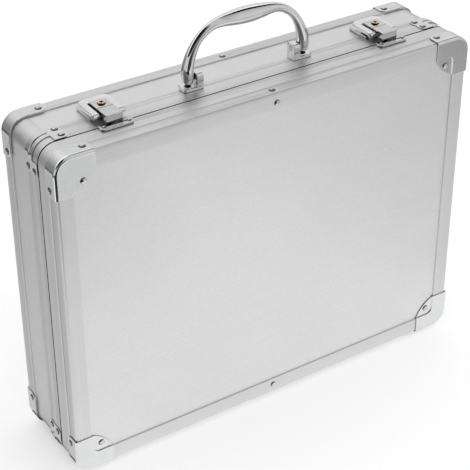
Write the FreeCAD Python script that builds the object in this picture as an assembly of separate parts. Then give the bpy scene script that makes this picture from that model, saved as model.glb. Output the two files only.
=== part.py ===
import FreeCAD, Part
import math
import os

# Aluminium attache case standing on its hinge side, closed, with the carrying handle up.
# Millimetres: X runs along the case, Y from the lid at the front to the back, Z up.
# The origin is on the ground under the middle of the case.

# Shell
case_width = 425.0
case_height = 323.0
case_depth = 95.0
lid_depth = 29.0
parting_gap = 0.9
corner_radius = 16.0
least_bend = 0.5            # smallest corner bend left on inner pieces
panel_thickness = 4.0
seat_gap = 0.2              # between pieces that only sit beside each other

# Aluminium rails
rail_wall = 1.2
rail_flange = 16.0          # frame seen round the front and back panels
rail_inner_flange = 5.0     # lip behind the panel, past the slot bottom
rail_edge_radius = 2.5
lid_recess_depth = 0.5      # shallow recess along the lid's front edge
lid_recess_width = 12.5
rim_band = 12.5             # raised band beside the parting line
rim_step_band = 11.0        # thinner band behind it
rim_step_wall = 0.6
rim_width = 9.5
rim_inner_flange = 8.0
back_band = 14.0
back_inner_flange = 5.0
groove_inset = 3.4
groove_width = 3.2
groove_depth = 4.0
tongue_clearance = 0.6
tongue_thickness = 1.2
tongue_height = 3.0
post_land = 1.0             # straight run of a corner post past its bend

# Chromed corner caps
cap_sheet = 0.9
cap_arm = 36.5
cap_depth = 15.0
cap_edge_radius = 2.0
cap_end_radius = 6.0
cap_step_radius = 7.0
cap_step_clearance = 0.1
cap_lobe_bulge = 3.3
cap_face_rivet = 25.4       # from both edges, on the panel
cap_side_rivet = 30.5       # from the corner, on the side flanges
cap_side_rivet_depth = 8.9  # from the front or back face
rim_cap_arm = 29.5
rim_cap_nose = 9.5          # how far its bend stays back from the parting line
rim_cap_margin = 0.6
rim_cap_end_radius = 4.0
rim_cap_rivet = 25.5
rim_cap_rivet_front = 5.9   # from the parting line
rim_cap_rivet_rear = 5.5    # behind the raised band
rim_bead_height = 0.8
rim_bead_width = 1.8
rim_bead_setback = 3.0

# Rivets
rivet_head_radius = 3.2
rivet_head_height = 1.3
rivet_shank_radius = 1.5
rivet_shank_length = 4.5
rivet_clearance = 0.05
flange_rivet_inset = 9.4
recess_rivet_gap = 1.1      # from a rivet's head to the end of the lid's recess
small_rivet_head_radius = 2.2
small_rivet_head_height = 1.0
small_rivet_shank_radius = 1.0
small_rivet_shank_length = 4.0

# Carrying handle and brackets
handle_half_span = 59.7
handle_rise = 54.5          # centre of the grip above the case
handle_pivot_height = 10.5
grip_half_depth = 8.6
grip_half_height = 7.0
grip_swell_length = 20.5    # half of the swollen stretch
grip_swell_depth = 6.6
grip_swell_height = 5.4
grip_half_length = 31.0
grip_end_drop = 0.9
grip_end_depth = 4.9
grip_end_height = 4.2
neck_radius = 3.8
neck_drop = 4.7
shoulder_drop = 12.5
shoulder_inset = 10.2
knee_inset = 3.7
leg_radius = 5.4
leg_lean = 0.5
leg_straight = 9.5          # above the pivot
leg_gap = 1.3               # between its end and the rivet's head under it
leg_end_radius = 3.4
leg_end_height = 1.9        # of its rounded end
leg_taper_height = 4.9      # from its end to its full thickness
handle_oval = 0.15          # legs and neck are this much deeper than wide
handle_pin_radius = 2.0
handle_pin_depth = 8.0      # into the leg
pin_clearance = 0.06
lug_thickness = 6.6
lug_inset = 0.2             # from the bracket's front and back
lug_leg_gap = 0.6
lug_rise = 4.2              # above the pivot
lug_corner_radius = 3.0
bracket_flange_height = 3.0
bracket_flange_reach = 6.4  # past the leg's centre line
bracket_half_depth = 6.2
bracket_corner_radius = 2.5

# Latches
latch_inset = 70.5          # from the case's end
latch_setback = 6.3         # from the parting line to the lever's noses
base_half_width = 13.6
base_plate = 1.6            # above the rim's raised band
base_length = 28.5
base_setback = 3.0          # behind the rim's raised band
base_corner_radius = 6.0
housing_half_width = 7.7
housing_height = 10.0
housing_length = 14.4
housing_edge_radius = 0.6
web_side_gap = 0.4          # between the web and the hook's ears
web_top_gap = 0.8           # between the web and the hook's plate
web_nose = 1.2              # web left in front of the lever's pin
lever_gap = 0.9             # slot between lever and housing
lever_arm_width = 6.2
lever_bar = 8.8
lever_drop = 2.0            # its top below the housing's top
lever_thickness = 3.6
lever_corner_radius = 6.5
lever_pivot_drop = 4.6      # below the housing's top
lever_nose_radius = 2.6
lever_pin_radius = 1.0
lever_pin_head_radius = 1.7
lever_pin_head_height = 0.5
hook_link_back = 2.65       # hook pivot behind the lever pivot
hook_link_up = 0.5
hook_stud_radius = 0.75
hook_ear_radius = 1.4
hook_ear_width = 3.1
hook_gap = 0.4
hook_plate = 2.0
hook_wall = 1.4
hook_front = 2.0            # ahead of the parting line
hook_side_length = 5.0
hook_side_gap = 1.8         # between its side walls and the strike
plug_radius = 3.2
plug_depth = 7.0
plug_proud = 0.3
plug_back = 6.65            # behind the housing's front
keyhole_length = 3.8
keyhole_width = 1.1
keyhole_depth = 2.0
strike_half_width = 15.3
strike_length = 8.0
strike_height = 2.2
strike_corner_radius = 3.5
strike_rivet_inset = 3.4
latch_screw_radius = 1.5
latch_screw_head_radius = 2.8
latch_screw_head_height = 1.0
latch_screw_reach = 4.0     # into the housing above its plate
latch_screw_half_spacing = 4.8
latch_screw_from_rear = 2.6

# Hinges and feet
hinge_inset = 94.5          # from the case's end
hinge_half_width = 20.0
hinge_leaf = 1.0
hinge_leaf_length = 11.5
hinge_drop = 2.6            # pin axis below the case
knuckle_radius = 2.2
knuckle_half_width = 7.0    # the lid's knuckle
knuckle_gap = 0.3
hinge_pin_radius = 1.1
hinge_rivet_half_spacing = 13.5
foot_inset = 49.5           # from the case's end
foot_radius = 5.5
foot_height = 6.0
foot_edge_radius = 1.2
foot_stem_radius = 1.8
foot_stem_length = 4.0

# Linings
lining_thickness = 2.4

# Places worked out from the sizes above
V = FreeCAD.Vector
half_width = case_width / 2
latch_x = half_width - latch_inset
hinge_x = half_width - hinge_inset
foot_x = half_width - foot_inset
front = -case_depth / 2
back = case_depth / 2
base = foot_height
top = base + case_height
middle = base + case_height / 2
parting = front + lid_depth
lid_rim = parting - parting_gap / 2
body_rim = parting + parting_gap / 2
panel_inner = rail_wall + panel_thickness
slot_bottom = panel_inner + rail_wall
panel_edge = slot_bottom + seat_gap / 2
post_leg = max(corner_radius, rail_flange) + post_land
rim_band_end = parting + rim_band
rim_step_end = rim_band_end + rim_step_band
rim_step_depth = rail_wall - rim_step_wall
cap_step = rail_flange + cap_step_clearance
handle_y = rim_band_end + seat_gap + bracket_half_depth
handle_pivot = top + handle_pivot_height
lug_half_depth = bracket_half_depth - lug_inset


def box(x0, x1, y0, y1, z0, z1):
    return Part.makeBox(x1 - x0, y1 - y0, z1 - z0, V(x0, y0, z0))


def rod(start, direction, radius, length):
    return Part.makeCylinder(radius, length, start, direction)


def rounded_edges(points, place):
    # Closed outline of (u, v) or (u, v, radius) corners; place turns (u, v) into a position.
    edges = []
    count = len(points)
    stops = []
    for i in range(count):
        u, v = points[i][:2]
        radius = points[i][2] if len(points[i]) > 2 else 0.0
        if radius <= 0.0:
            stops.append(((u, v), None, (u, v)))
            continue
        before = points[i - 1]
        after = points[(i + 1) % count]
        arm_in = math.hypot(before[0] - u, before[1] - v)
        arm_out = math.hypot(after[0] - u, after[1] - v)
        a = ((before[0] - u) / arm_in, (before[1] - v) / arm_in)
        b = ((after[0] - u) / arm_out, (after[1] - v) / arm_out)
        half = math.acos(a[0] * b[0] + a[1] * b[1]) / 2
        reach = radius / math.tan(half)
        bisector = math.hypot(a[0] + b[0], a[1] + b[1])
        depth = radius / math.sin(half) - radius
        bend = (u + (a[0] + b[0]) / bisector * depth, v + (a[1] + b[1]) / bisector * depth)
        stops.append(((u + a[0] * reach, v + a[1] * reach), bend, (u + b[0] * reach, v + b[1] * reach)))
    for i in range(count):
        start, bend, end = stops[i]
        if bend:
            edges.append(Part.Arc(place(*start), place(*bend), place(*end)).toShape())
        following = stops[(i + 1) % count][0]
        if math.hypot(following[0] - end[0], following[1] - end[1]) > 1e-6:
            edges.append(Part.makeLine(place(*end), place(*following)))
    return edges


def prism(points, place, sweep):
    wire = Part.Wire(rounded_edges(points, place))
    return Part.Face(wire).extrude(sweep)


def plate_y(points, y0, y1):
    # Outline in X and Z, thick in Y.
    return prism(points, lambda x, z: V(x, y0, z), V(0, y1 - y0, 0))


def plate_z(points, z0, z1):
    # Outline in X and Y, thick in Z.
    return prism(points, lambda x, y: V(x, y, z0), V(0, 0, z1 - z0))


def plate_x(points, x0, x1):
    # Outline in Y and Z, thick in X.
    return prism(points, lambda y, z: V(x0, y, z), V(x1 - x0, 0, 0))


def rectangle(u0, u1, v0, v1, radius=0.0):
    return [(u0, v0, radius), (u1, v0, radius), (u1, v1, radius), (u0, v1, radius)]


def inset_rectangle(inset):
    # The case's front outline moved inward, with its corner bend.
    return rectangle(-half_width + inset, half_width - inset, base + inset, top - inset,
                     max(corner_radius - inset, least_bend))


def edges_at(shape, test):
    return [edge for edge in shape.Edges if test(edge, edge.CenterOfMass)]


def mirror_x(shape):
    return shape.mirror(V(0, 0, 0), V(1, 0, 0))


def mirror_y(shape):
    return shape.mirror(V(0, 0, 0), V(0, 1, 0))


def mirror_z(shape):
    return shape.mirror(V(0, 0, middle), V(0, 0, 1))


def four_corners(shape):
    # A piece made at the top right corner, and its copies at the other corners.
    left = mirror_x(shape)
    return {"top_right": shape, "top_left": left,
            "bottom_right": mirror_z(shape), "bottom_left": mirror_z(left)}


def corner_points(points):
    # Points given as depths inward from the right edge and the top edge.
    return [(half_width - p[0], top - p[1]) + p[2:] for p in points]


def corner_strip(outer, inner, leg, y0, y1):
    # Strip round the top right corner between two depths inward from the case's outline.
    points = [(leg, outer), (outer, outer, corner_radius - outer), (outer, leg),
              (inner, leg), (inner, inner, max(corner_radius - inner, 0.0)), (leg, inner)]
    return plate_y(corner_points(points), y0, y1)


def rivet(seat, outward, small=False):
    # Domed head on the seat, shank going in; returns the rivet and the hole that takes it.
    head_r = small_rivet_head_radius if small else rivet_head_radius
    head_h = small_rivet_head_height if small else rivet_head_height
    shank_r = small_rivet_shank_radius if small else rivet_shank_radius
    shank_l = small_rivet_shank_length if small else rivet_shank_length
    dome = (head_r ** 2 + head_h ** 2) / (2 * head_h)
    turn = math.asin(head_r / dome) / 2
    crown = V(dome * math.sin(turn), 0, head_h - dome + dome * math.cos(turn))
    corners = [V(0, 0, head_h), V(0, 0, -shank_l), V(shank_r, 0, -shank_l), V(shank_r, 0, 0), V(head_r, 0, 0)]
    edges = [Part.makeLine(corners[i], corners[i + 1]) for i in range(4)]
    edges.append(Part.Arc(corners[4], crown, corners[0]).toShape())
    body = Part.Face(Part.Wire(edges)).revolve(V(0, 0, 0), V(0, 0, 1), 360)
    body.Placement = FreeCAD.Placement(seat, FreeCAD.Rotation(V(0, 0, 1), outward))
    hole = rod(seat, outward * -1, shank_r + rivet_clearance, shank_l + seat_gap)
    return body, hole


def drilled(shape, holes):
    # Cuts only the holes that reach the piece.
    near = [hole for hole in holes if hole.BoundBox.intersect(shape.BoundBox)]
    return shape.cut(near) if near else shape


def rail_run(outline, side):
    # Sweeps a rail section of (depth, y) points along one side, between the corner posts.
    across = case_width - 2 * post_leg
    upward = case_height - 2 * post_leg
    start = base + post_leg
    places = {"top": lambda d, y: V(-across / 2, y, top - d),
              "bottom": lambda d, y: V(-across / 2, y, base + d),
              "left": lambda d, y: V(-half_width + d, y, start),
              "right": lambda d, y: V(half_width - d, y, start)}
    sweep = V(across, 0, 0) if side in ("top", "bottom") else V(0, 0, upward)
    return prism(outline, places[side], sweep)


def lid_rail_outline():
    floor_y = front + panel_inner
    lip_y = front + slot_bottom
    lip = slot_bottom + rail_inner_flange
    groove_end = lid_rim - groove_depth
    groove_far = groove_inset + groove_width
    wall_inside = lid_recess_depth + rail_wall
    recess_end = front + lid_recess_width
    return [(0, lid_rim), (0, recess_end + lid_recess_depth), (lid_recess_depth, recess_end),
            (lid_recess_depth, front, rail_edge_radius), (rail_flange, front),
            (rail_flange, front + rail_wall), (slot_bottom, front + rail_wall), (slot_bottom, floor_y),
            (lip, floor_y), (lip, lip_y),
            (wall_inside, lip_y), (wall_inside, groove_end - rail_wall),
            (groove_far + rail_wall, groove_end - rail_wall), (groove_far + rail_wall, lid_rim - rail_wall),
            (rim_width, lid_rim - rail_wall), (rim_width, lid_rim), (groove_far, lid_rim),
            (groove_far, groove_end), (groove_inset, groove_end), (groove_inset, lid_rim)]


def rim_rail_outline():
    slot_y = body_rim + rail_wall
    lip_y = body_rim + rim_inner_flange
    tongue_near = groove_inset + tongue_clearance
    tongue_far = tongue_near + tongue_thickness
    return [(0, body_rim), (0, rim_band_end), (rim_step_depth, rim_band_end), (rim_step_depth, rim_step_end),
            (rail_wall, rim_step_end), (rail_wall, slot_y), (panel_inner, slot_y), (panel_inner, lip_y),
            (slot_bottom, lip_y), (slot_bottom, slot_y), (rim_width, slot_y), (rim_width, body_rim),
            (tongue_far, body_rim), (tongue_far, body_rim - tongue_height),
            (tongue_near, body_rim - tongue_height), (tongue_near, body_rim)]


def back_rail_outline():
    lip = slot_bottom + back_inner_flange
    return [(0, back - back_band), (0, back, rail_edge_radius), (rail_flange, back),
            (rail_flange, back - rail_wall), (slot_bottom, back - rail_wall),
            (slot_bottom, back - panel_inner), (lip, back - panel_inner),
            (lip, back - slot_bottom), (slot_bottom, back - slot_bottom), (slot_bottom, back - lip),
            (panel_inner, back - lip), (panel_inner, back - slot_bottom), (rail_wall, back - slot_bottom),
            (rail_wall, back - back_band)]


def side_panel_outline():
    near = body_rim + rail_wall + seat_gap / 2
    far = back - slot_bottom - seat_gap / 2
    return [(rail_wall, near), (rail_wall, far), (panel_inner, far), (panel_inner, near)]


def body_post():
    # Smooth rounded corner, flush with the panels and raised where it meets the rails.
    post = corner_strip(rail_wall, panel_inner, post_leg, body_rim, back)
    rim = corner_strip(0, panel_inner, post_leg, body_rim, rim_band_end)
    step = corner_strip(rim_step_depth, panel_inner, post_leg, rim_band_end, rim_step_end)
    rear = corner_strip(0, panel_inner, post_leg, back - back_band, back)
    return post.fuse([rim, step, rear]).removeSplitter()


def lid_post():
    return corner_strip(0, panel_inner, post_leg, front, lid_rim)


def cap_region(depth, bend):
    # Square of the corner inside one depth, for the cap's solid and what is cut from it.
    points = [(cap_arm, depth), (depth, depth, bend), (depth, cap_arm), (cap_arm, cap_arm)]
    return corner_points(points)


def front_cap():
    # Three-way cap: rolled edge, two side flanges and a lobe stepped down onto the panel.
    y_face = front - cap_sheet
    y_rear = front + cap_depth
    shell = plate_y(cap_region(-cap_sheet, corner_radius + cap_sheet), y_face, y_rear)
    rolled = edges_at(shell, lambda e, c: abs(c.y - y_face) < 1e-6 and (c.x > half_width - cap_edge_radius
                      or c.z > top - cap_edge_radius or e.Curve.TypeId == "Part::GeomCircle"))
    shell = shell.makeFillet(cap_edge_radius, rolled)
    reach = cap_arm + cap_depth
    inside = [(reach, 0), (0, 0, corner_radius), (0, reach), (reach, reach)]
    shell = shell.cut(plate_y(corner_points(inside), front, y_rear + cap_sheet))
    ends = edges_at(shell, lambda e, c: abs(c.y - y_rear) < 1e-6 and abs(e.Length - cap_sheet) < 1e-6)
    shell = shell.makeFillet(cap_end_radius, ends)
    well = [(reach, cap_step), (cap_step, cap_step, cap_step_radius), (cap_step, reach), (reach, reach)]
    shell = shell.cut(plate_y(corner_points(well), y_face - cap_sheet, front + cap_sheet))
    return shell.fuse([cap_riser(y_face), cap_lobe()]).removeSplitter()


def cap_riser(y_face):
    inner = cap_step + cap_sheet
    points = [(cap_arm, cap_step), (cap_step, cap_step, cap_step_radius), (cap_step, cap_arm),
              (inner, cap_arm), (inner, inner, cap_step_radius - cap_sheet), (cap_arm, inner)]
    return plate_y(corner_points(points), y_face, front + rail_wall)


def cap_lobe():
    y0 = front + rail_wall - cap_sheet

    def place(p, q):
        return V(half_width - p, y0, top - q)

    bend = cap_step + cap_step_radius
    dip = cap_step + cap_step_radius * (1 - math.sqrt(0.5))
    crest = (cap_arm + cap_step) / 2 + cap_lobe_bulge * math.sqrt(0.5)
    edges = [Part.makeLine(place(cap_arm, cap_step), place(bend, cap_step)),
             Part.Arc(place(bend, cap_step), place(dip, dip), place(cap_step, bend)).toShape(),
             Part.makeLine(place(cap_step, bend), place(cap_step, cap_arm)),
             Part.Arc(place(cap_step, cap_arm), place(crest, crest), place(cap_arm, cap_step)).toShape()]
    return Part.Face(Part.Wire(edges)).extrude(V(0, cap_sheet, 0))


def rim_cap():
    # Strip bent round the rim's corner: high on the raised band, low behind it, with a bead.
    y_front = parting + parting_gap / 2 + rim_cap_margin
    y_rear = rim_step_end - rim_cap_margin
    low = rim_step_depth - cap_sheet
    bead_y = rim_band_end + rim_bead_setback
    high_strip = corner_strip(-cap_sheet, 0, rim_cap_arm, y_front, rim_band_end)
    clear = corner_radius + post_land
    notch = box(half_width - clear, half_width + clear, front, parting + rim_cap_nose,
                top - clear, top + clear)
    high_strip = high_strip.cut(notch)
    step = corner_strip(-cap_sheet, rim_step_depth, rim_cap_arm, rim_band_end, rim_band_end + cap_sheet)
    low_strip = corner_strip(low, rim_step_depth, rim_cap_arm, rim_band_end, y_rear)
    bead = corner_strip(low - rim_bead_height, low, clear, bead_y, bead_y + rim_bead_width)
    cap = high_strip.fuse([step, low_strip, bead]).removeSplitter()

    def at_end(edge, c):
        outer = abs(c.y - y_front) < 1e-6 or abs(c.y - y_rear) < 1e-6
        tip = abs(half_width - rim_cap_arm - c.x) < 1e-6 or abs(top - rim_cap_arm - c.z) < 1e-6
        return outer and tip and abs(edge.Length - cap_sheet) < 1e-6

    return cap.makeFillet(rim_cap_end_radius, edges_at(cap, at_end))


def corner_rivets(seats):
    # Seats at the top right corner are (point, outward); they repeat at the other three corners.
    rivets = []
    holes = []
    for seat, outward in seats:
        for sx in (1, -1):
            for sz in (1, -1):
                point = V(sx * seat.x, seat.y, middle + sz * (seat.z - middle))
                body, hole = rivet(point, V(sx * outward.x, outward.y, sz * outward.z))
                rivets.append(body)
                holes.append(hole)
    return rivets, holes


def cap_seats(face, outward_y):
    # Rivet seats of a three-way cap on the front or back face.
    lobe_y = face - outward_y * (rail_wall - cap_sheet)
    side_y = face - outward_y * cap_side_rivet_depth
    face_x = half_width - cap_face_rivet
    face_z = top - cap_face_rivet
    return [(V(face_x, lobe_y, face_z), V(0, outward_y, 0)),
            (V(half_width - cap_side_rivet, side_y, top + cap_sheet), V(0, 0, 1)),
            (V(half_width + cap_sheet, side_y, top - cap_side_rivet), V(1, 0, 0))]


def rim_seats():
    seats = []
    low = rim_step_depth - cap_sheet
    for y, depth in ((parting + rim_cap_rivet_front, -cap_sheet), (rim_band_end + rim_cap_rivet_rear, low)):
        seats.append((V(half_width - rim_cap_rivet, y, top - depth), V(0, 0, 1)))
        seats.append((V(half_width - depth, y, top - rim_cap_rivet), V(1, 0, 0)))
    return seats


def middle_rivets(face, outward_y, depth, side_y):
    # Single rivets in the middle of the top and bottom rails, on their face and their side.
    rivets = []
    holes = []
    for sz in (1, -1):
        z_face = middle + sz * (case_height / 2 - flange_rivet_inset)
        z_side = middle + sz * (case_height / 2 - depth)
        seats = ((V(0, face, z_face), V(0, outward_y, 0)), (V(0, side_y, z_side), V(0, 0, sz)))
        for seat, outward in seats:
            body, hole = rivet(seat, outward)
            rivets.append(body)
            holes.append(hole)
    return rivets, holes


def handle_stations():
    # Right half of the bar, from the grip to the leg's end: (x, height, half depth, half thickness).
    shoulder_x = handle_half_span - shoulder_inset
    shoulder_height = handle_rise - shoulder_drop
    neck_x = (shoulder_x + grip_half_length) / 2
    leg_top = handle_pivot_height + leg_straight
    knee_height = (shoulder_height + leg_top) / 2
    knee_radius = (neck_radius + leg_radius) / 2
    leg_end = bracket_flange_height + rivet_head_height + leg_gap
    round_radius = (leg_radius * 2 + leg_end_radius) / 3
    return [(0, handle_rise, grip_half_depth, grip_half_height),
            (grip_swell_length, handle_rise, grip_swell_depth, grip_swell_height),
            (grip_half_length, handle_rise - grip_end_drop, grip_end_depth, grip_end_height),
            (neck_x, handle_rise - neck_drop, neck_radius + handle_oval, neck_radius),
            (shoulder_x, shoulder_height, neck_radius + handle_oval, neck_radius),
            (handle_half_span - knee_inset, knee_height, knee_radius + handle_oval, knee_radius),
            (handle_half_span - leg_lean, leg_top, leg_radius + handle_oval, leg_radius),
            (handle_half_span, leg_end + leg_taper_height, leg_radius + handle_oval, leg_radius),
            (handle_half_span, leg_end + leg_end_height, round_radius + handle_oval, round_radius),
            (handle_half_span, leg_end, leg_end_radius + handle_oval, leg_end_radius)]


def handle():
    right = handle_stations()
    left = [(-s[0],) + s[1:] for s in right[:0:-1]]
    stations = left + right
    centres = [V(s[0], handle_y, top + s[1]) for s in stations]
    path = Part.BSplineCurve()
    path.interpolate(centres)
    wires = []
    for centre, station in zip(centres, stations):
        along = path.tangent(path.parameter(centre))[0]
        across = V(0, 1, 0).cross(along)
        ring = Part.Ellipse(centre + V(0, station[2], 0), centre + across * station[3], centre)
        wires.append(Part.Wire(ring.toShape()))
    bar = Part.makeLoft(wires, True, False)
    length = handle_pin_end() - lug_outer() + seat_gap
    for side in (1, -1):
        bar = bar.cut(rod(V(side * lug_outer(), handle_y, handle_pivot), V(side, 0, 0),
                          handle_pin_radius + pin_clearance, length))
    return bar


def handle_pin_end():
    return handle_half_span - leg_radius + handle_pin_depth


def lug_outer():
    return handle_half_span - leg_radius - lug_leg_gap


def handle_bracket():
    # Right bracket: flange under the leg and an upright lug on its inner side.
    x0 = lug_outer() - lug_thickness
    x1 = handle_half_span + bracket_flange_reach
    z0 = top - rim_step_depth
    flange = plate_z(rectangle(x0, x1, handle_y - bracket_half_depth, handle_y + bracket_half_depth,
                               bracket_corner_radius), z0, top + bracket_flange_height)
    crest = handle_pivot + lug_rise
    near = handle_y - lug_half_depth
    far = handle_y + lug_half_depth
    lug = plate_x([(near, z0), (far, z0), (far, crest, lug_corner_radius), (near, crest, lug_corner_radius)],
                  x0, lug_outer())
    bore = rod(V(x0 - seat_gap, handle_y, handle_pivot), V(1, 0, 0), handle_pin_radius,
               lug_thickness + 2 * seat_gap)
    return flange.fuse(lug).removeSplitter().cut(bore)


def handle_pin():
    start = lug_outer() - lug_thickness
    return rod(V(start, handle_y, handle_pivot), V(1, 0, 0), handle_pin_radius, handle_pin_end() - start)


def lever_pivot():
    y = parting + latch_setback + lever_nose_radius + seat_gap
    return V(0, y, top + housing_height - lever_pivot_drop)


def hook_pivot():
    return lever_pivot() + V(0, hook_link_back, hook_link_up)


def housing_start():
    return hook_pivot().y + hook_ear_radius + hook_gap


def plug_centre():
    return V(0, housing_start() + plug_back, top + housing_height)


def lever_inner():
    return housing_half_width + lever_gap


def lever_outer():
    return lever_inner() + lever_arm_width


def latch_base():
    # Plate on the body with the lock housing and the web that holds the lever's pin.
    y0 = rim_band_end + base_setback
    y1 = y0 + base_length
    half = base_half_width
    corners = [(-half, y0), (half, y0), (half, y1, base_corner_radius), (-half, y1, base_corner_radius)]
    plate = plate_z(corners, top, top + base_plate)
    step_pad = box(-half, half, y0, rim_step_end, top - rim_step_depth, top)
    pad_rear = min(y1 - base_corner_radius, back - back_band - seat_gap)
    panel_pad = box(-half, half, rim_step_end + seat_gap, pad_rear, top - rail_wall, top)
    start = housing_start()
    housing = box(-housing_half_width, housing_half_width, start, start + housing_length, top,
                  top + housing_height)
    rims = edges_at(housing, lambda e, c: abs(c.z - top - housing_height) < 1e-6)
    housing = housing.makeFillet(housing_edge_radius, rims)
    pivot = lever_pivot()
    web_half = housing_half_width - hook_ear_width - web_side_gap
    web = box(-web_half, web_half, pivot.y - lever_pin_radius - web_nose, start + housing_length / 2,
              top, top + housing_height - hook_plate - web_top_gap)
    solid = plate.fuse([step_pad, panel_pad, housing, web]).removeSplitter()
    bore = rod(pivot - V(half, 0, 0), V(1, 0, 0), lever_pin_radius, 2 * half)
    barrel = rod(plug_centre() + V(0, 0, plug_proud), V(0, 0, -1), plug_radius + pin_clearance,
                 plug_depth + plug_proud + seat_gap)
    return solid.cut([bore.common(web), barrel])


def latch_pin():
    pivot = lever_pivot()
    reach = lever_outer() + pin_clearance
    pin = rod(pivot - V(reach, 0, 0), V(1, 0, 0), lever_pin_radius, 2 * reach)
    heads = [rod(pivot + V(side * reach, 0, 0), V(side, 0, 0), lever_pin_head_radius, lever_pin_head_height)
             for side in (1, -1)]
    return pin.fuse(heads)


def latch_lever():
    # U-shaped lever: two arms with round noses, joined by a bar at the rear.
    pivot = lever_pivot()
    bar_front = housing_start() + housing_length + lever_gap + hook_gap
    bar_rear = bar_front + lever_bar
    z0 = top + housing_height - lever_drop - lever_thickness
    outer = lever_outer()
    inner = lever_inner()
    u_shape = [(-outer, pivot.y), (-outer, bar_rear, lever_corner_radius),
               (outer, bar_rear, lever_corner_radius), (outer, pivot.y),
               (inner, pivot.y), (inner, bar_front), (-inner, bar_front), (-inner, pivot.y)]
    lever = plate_z(u_shape, z0, z0 + lever_thickness)
    noses = []
    studs = []
    stud = hook_pivot()
    stud_inner = housing_half_width - hook_ear_width
    for side in (1, -1):
        noses.append(rod(V(side * inner, pivot.y, pivot.z), V(side, 0, 0), lever_nose_radius,
                         lever_arm_width))
        studs.append(rod(V(side * stud_inner, stud.y, stud.z), V(side, 0, 0), hook_stud_radius,
                         inner - stud_inner + lever_arm_width / 2))
    lever = lever.fuse(noses + studs).removeSplitter()
    bore = rod(pivot - V(outer, 0, 0), V(1, 0, 0), lever_pin_radius + pin_clearance, 2 * outer)
    return lever.cut(bore)


def latch_hook():
    # Plate in front of the housing, with a front wall over the strike and two ears on the lever's studs.
    stud = hook_pivot()
    y0 = parting - hook_front
    y1 = stud.y + hook_ear_radius
    z1 = top + housing_height
    z0 = z1 - hook_plate
    half = housing_half_width
    plate = box(-half, half, y0, y1, z0, z1)
    rims = edges_at(plate, lambda e, c: abs(c.z - z1) < 1e-6 and c.y < y1 - 1e-6)
    plate = plate.makeFillet(housing_edge_radius, rims)
    wall = box(-half, half, y0, y0 + hook_wall, top + strike_height + hook_gap, z0 + hook_plate / 2)
    pieces = [wall]
    for side in (1, -1):
        x_near, x_far = sorted((side * half, side * (half - hook_wall)))
        pieces.append(box(x_near, x_far, y0, y0 + hook_side_length, top + strike_height + hook_side_gap,
                          z0 + hook_plate / 2))
        e_near, e_far = sorted((side * half, side * (half - hook_ear_width)))
        pieces.append(box(e_near, e_far, stud.y - hook_ear_radius, y1, stud.z, z0 + hook_plate / 2))
        pieces.append(rod(V(e_near, stud.y, stud.z), V(1, 0, 0), hook_ear_radius, e_far - e_near))
    hook = plate.fuse(pieces).removeSplitter()
    bore = rod(V(-half, stud.y, stud.z), V(1, 0, 0), hook_stud_radius + pin_clearance, 2 * half)
    return hook.cut(bore)


def lock_plug():
    centre = plug_centre()
    plug = rod(centre + V(0, 0, plug_proud), V(0, 0, -1), plug_radius, plug_depth + plug_proud)
    face = centre.z + plug_proud
    slot = box(-keyhole_width / 2, keyhole_width / 2, centre.y - keyhole_length / 2,
               centre.y + keyhole_length / 2, face - keyhole_depth, face)
    return plug.cut(slot)


def strike():
    y1 = lid_rim - seat_gap
    y0 = y1 - strike_length
    corners = [(-strike_half_width, y0, strike_corner_radius), (strike_half_width, y0, strike_corner_radius),
               (strike_half_width, y1), (-strike_half_width, y1)]
    return plate_z(corners, top, top + strike_height)


def latch_screws():
    # Screws from inside the body into the lock housing, with the holes that take them.
    screws = []
    holes = []
    y = housing_start() + housing_length - latch_screw_from_rear
    head_z = top - panel_inner
    length = panel_inner + latch_screw_reach
    for x in (-latch_screw_half_spacing, latch_screw_half_spacing):
        shank = rod(V(x, y, head_z), V(0, 0, 1), latch_screw_radius, length)
        head = rod(V(x, y, head_z), V(0, 0, -1), latch_screw_head_radius, latch_screw_head_height)
        screws.append(shank.fuse(head))
        holes.append(rod(V(x, y, head_z), V(0, 0, 1), latch_screw_radius + rivet_clearance,
                         length + seat_gap))
    return screws, holes


def moved_x(shapes, x):
    copies = []
    for shape in shapes:
        copy = shape.copy()
        copy.translate(V(x, 0, 0))
        copies.append(copy)
    return copies


def both_sides(shapes, x):
    return moved_x(shapes, -x) + moved_x(shapes, x)


def hinge_axis():
    return V(0, parting, base - hinge_drop)


def hinge_leaf_pair():
    # One hinge at the middle of the case: the lid's leaf has the centre knuckle, the body's the outer two.
    axis = hinge_axis()
    reach = knuckle_radius + knuckle_gap
    far = hinge_leaf_length + parting_gap / 2
    inner = knuckle_half_width
    outer = inner + knuckle_gap
    half = hinge_half_width
    z0 = base - hinge_leaf
    lid_pieces = [box(-half, half, axis.y - far, axis.y - reach, z0, base),
                  box(-inner, inner, axis.y - reach, axis.y, z0, base),
                  rod(axis - V(inner, 0, 0), V(1, 0, 0), knuckle_radius, 2 * inner)]
    body_pieces = [box(-half, half, axis.y + reach, axis.y + far, z0, base)]
    for x0, x1 in ((-half, -outer), (outer, half)):
        body_pieces.append(box(x0, x1, axis.y, axis.y + reach, z0, base))
        body_pieces.append(rod(V(x0, axis.y, axis.z), V(1, 0, 0), knuckle_radius, x1 - x0))
    lid_bore = rod(axis - V(half, 0, 0), V(1, 0, 0), hinge_pin_radius + pin_clearance, 2 * half)
    body_bore = rod(axis - V(half, 0, 0), V(1, 0, 0), hinge_pin_radius, 2 * half)
    lid_leaf = lid_pieces[0].fuse(lid_pieces[1:]).removeSplitter().cut(lid_bore)
    body_leaf = body_pieces[0].fuse(body_pieces[1:]).removeSplitter().cut(body_bore)
    pin = rod(axis - V(half, 0, 0), V(1, 0, 0), hinge_pin_radius, 2 * half)
    return lid_leaf, body_leaf, pin


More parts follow.
